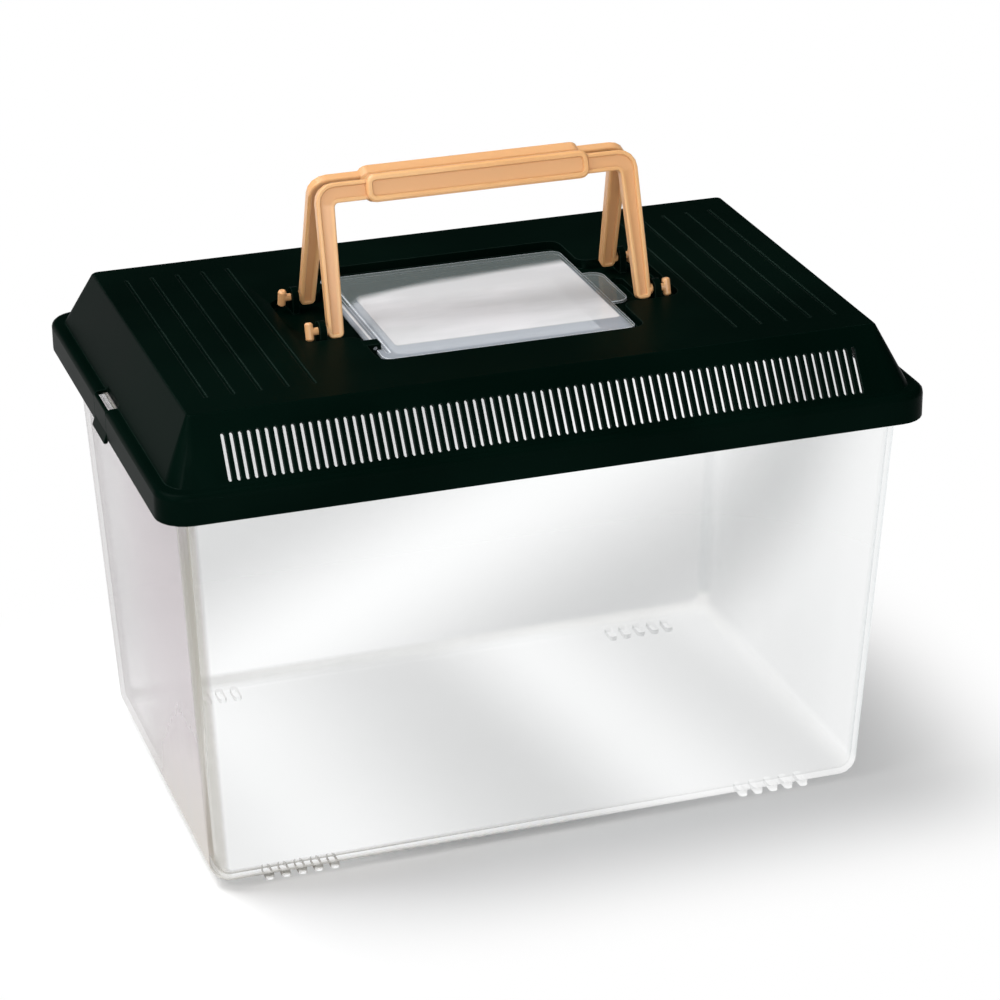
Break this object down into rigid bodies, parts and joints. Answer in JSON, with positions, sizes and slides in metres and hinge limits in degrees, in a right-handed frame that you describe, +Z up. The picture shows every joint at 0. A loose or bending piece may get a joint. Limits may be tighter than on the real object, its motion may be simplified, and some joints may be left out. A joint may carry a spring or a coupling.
{
  "type": "plastic critter tank",
  "caption": "Clear tapered plastic tank with a black hipped lid, slotted vent grilles, a hinged clear feeding hatch, folding carry handles and snap latches at the ends.",
  "frame": {"origin": "middle of the footprint, on the surface that the feet stand on", "axes": "+Z up, +X along the tank with the hatch hinge on the -X side, -Y towards the front"},
  "size_m": [0.3732, 0.2454, 0.3111],
  "materials": {
    "clear_plastic": "clear polished",
    "clear_hatch_plastic": "clear polished",
    "black_plastic": "satin",
    "black_latch_plastic": "satin",
    "tan_plastic": "satin"
  },
  "bodies": {
    "tank": {"tank_body": "clear_plastic"},
    "lid": {"lid": "black_plastic"},
    "hatch": {"feeding_hatch": "clear_hatch_plastic"},
    "front_handle": {"front_handle": "tan_plastic"},
    "rear_handle": {"rear_handle": "tan_plastic"},
    "left_latch": {"latch_left": "black_latch_plastic"},
    "right_latch": {"latch_right": "black_latch_plastic"}
  },
  "joints": [
    {"name": "lid_lift", "type": "slide", "parent": "tank", "child": "lid", "axis": [0, 0, 1], "range_m": [0, 0.1]},
    {"name": "hatch_hinge", "type": "hinge", "parent": "lid", "child": "hatch", "pos_m": [-0.0625, 0, 0.2387], "axis": [0, -1, 0], "range_deg": [0, 26]},
    {"name": "front_handle_hinge", "type": "hinge", "parent": "lid", "child": "front_handle", "pos_m": [0, -0.0241, 0.2437], "axis": [1, 0, 0], "range_deg": [0, 104.8]},
    {"name": "rear_handle_hinge", "type": "hinge", "parent": "lid", "child": "rear_handle", "pos_m": [0, 0.0241, 0.2437], "axis": [-1, 0, 0], "range_deg": [0, 104.8]},
    {"name": "left_latch_flex", "type": "hinge", "parent": "lid", "child": "left_latch", "pos_m": [-0.184, 0, 0.212], "axis": [0, 1, 0], "range_deg": [0, 8], "stiffness_Nm_per_rad": 0.05},
    {"name": "right_latch_flex", "type": "hinge", "parent": "lid", "child": "right_latch", "pos_m": [0.184, 0, 0.212], "axis": [0, -1, 0], "range_deg": [0, 8], "stiffness_Nm_per_rad": 0.05}
  ]
}
